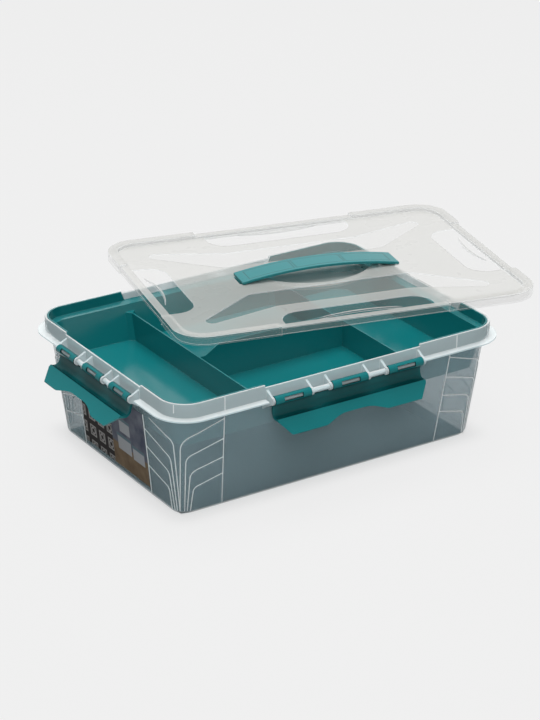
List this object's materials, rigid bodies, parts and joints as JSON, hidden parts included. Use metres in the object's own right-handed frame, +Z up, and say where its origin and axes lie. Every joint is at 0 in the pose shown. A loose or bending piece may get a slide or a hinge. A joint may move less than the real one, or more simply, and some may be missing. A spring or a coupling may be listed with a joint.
{
  "type": "storage container",
  "caption": "Translucent storage box with a lift-out compartment tray, a strap-handled lid lying askew on it, and open hinged latches on every side.",
  "frame": {"origin": "centre of the box's underside, on the ground", "axes": "+X along the long side towards the right, +Y from the front to the back, +Z up"},
  "size_m": [0.5379, 0.407, 0.1404],
  "materials": {
    "milky_plastic": "satin, milky translucent polypropylene",
    "teal_plastic": "glossy moulded polypropylene",
    "label_paper": "printed paper, satin"
  },
  "bodies": {
    "box": {"box_body": "milky_plastic", "side_label": "label_paper"},
    "tray": {"insert_tray": "teal_plastic"},
    "lid": {"lid": "milky_plastic"},
    "handle": {"carry_handle": "teal_plastic"},
    "front_latch": {"front_latch": "teal_plastic"},
    "back_latch": {"back_latch": "teal_plastic"},
    "left_latch": {"left_latch": "teal_plastic"},
    "right_latch": {"right_latch": "teal_plastic"}
  },
  "joints": [
    {"name": "tray_lift", "type": "slide", "parent": "box", "child": "tray", "axis": [0, 0, 1], "range_m": [0, 0.08]},
    {"name": "lid_lift", "type": "slide", "parent": "tray", "child": "lid", "axis": [0, 0, 1], "range_m": [0, 0.15]},
    {"name": "handle_play", "type": "slide", "parent": "lid", "child": "handle", "axis": [0.9744, -0.225, -0.0018], "range_m": [-0.003, 0.003]},
    {"name": "front_latch_hinge", "type": "hinge", "parent": "box", "child": "front_latch", "pos_m": [0, -0.146, 0.112], "axis": [-1, 0, 0], "range_deg": [0, 157]},
    {"name": "back_latch_hinge", "type": "hinge", "parent": "box", "child": "back_latch", "pos_m": [0, 0.146, 0.112], "axis": [1, 0, 0], "range_deg": [0, 60]},
    {"name": "left_latch_hinge", "type": "hinge", "parent": "box", "child": "left_latch", "pos_m": [-0.196, 0, 0.112], "axis": [0, 1, 0], "range_deg": [0, 143]},
    {"name": "right_latch_hinge", "type": "hinge", "parent": "box", "child": "right_latch", "pos_m": [0.196, 0, 0.112], "axis": [0, -1, 0], "range_deg": [0, 50]}
  ]
}
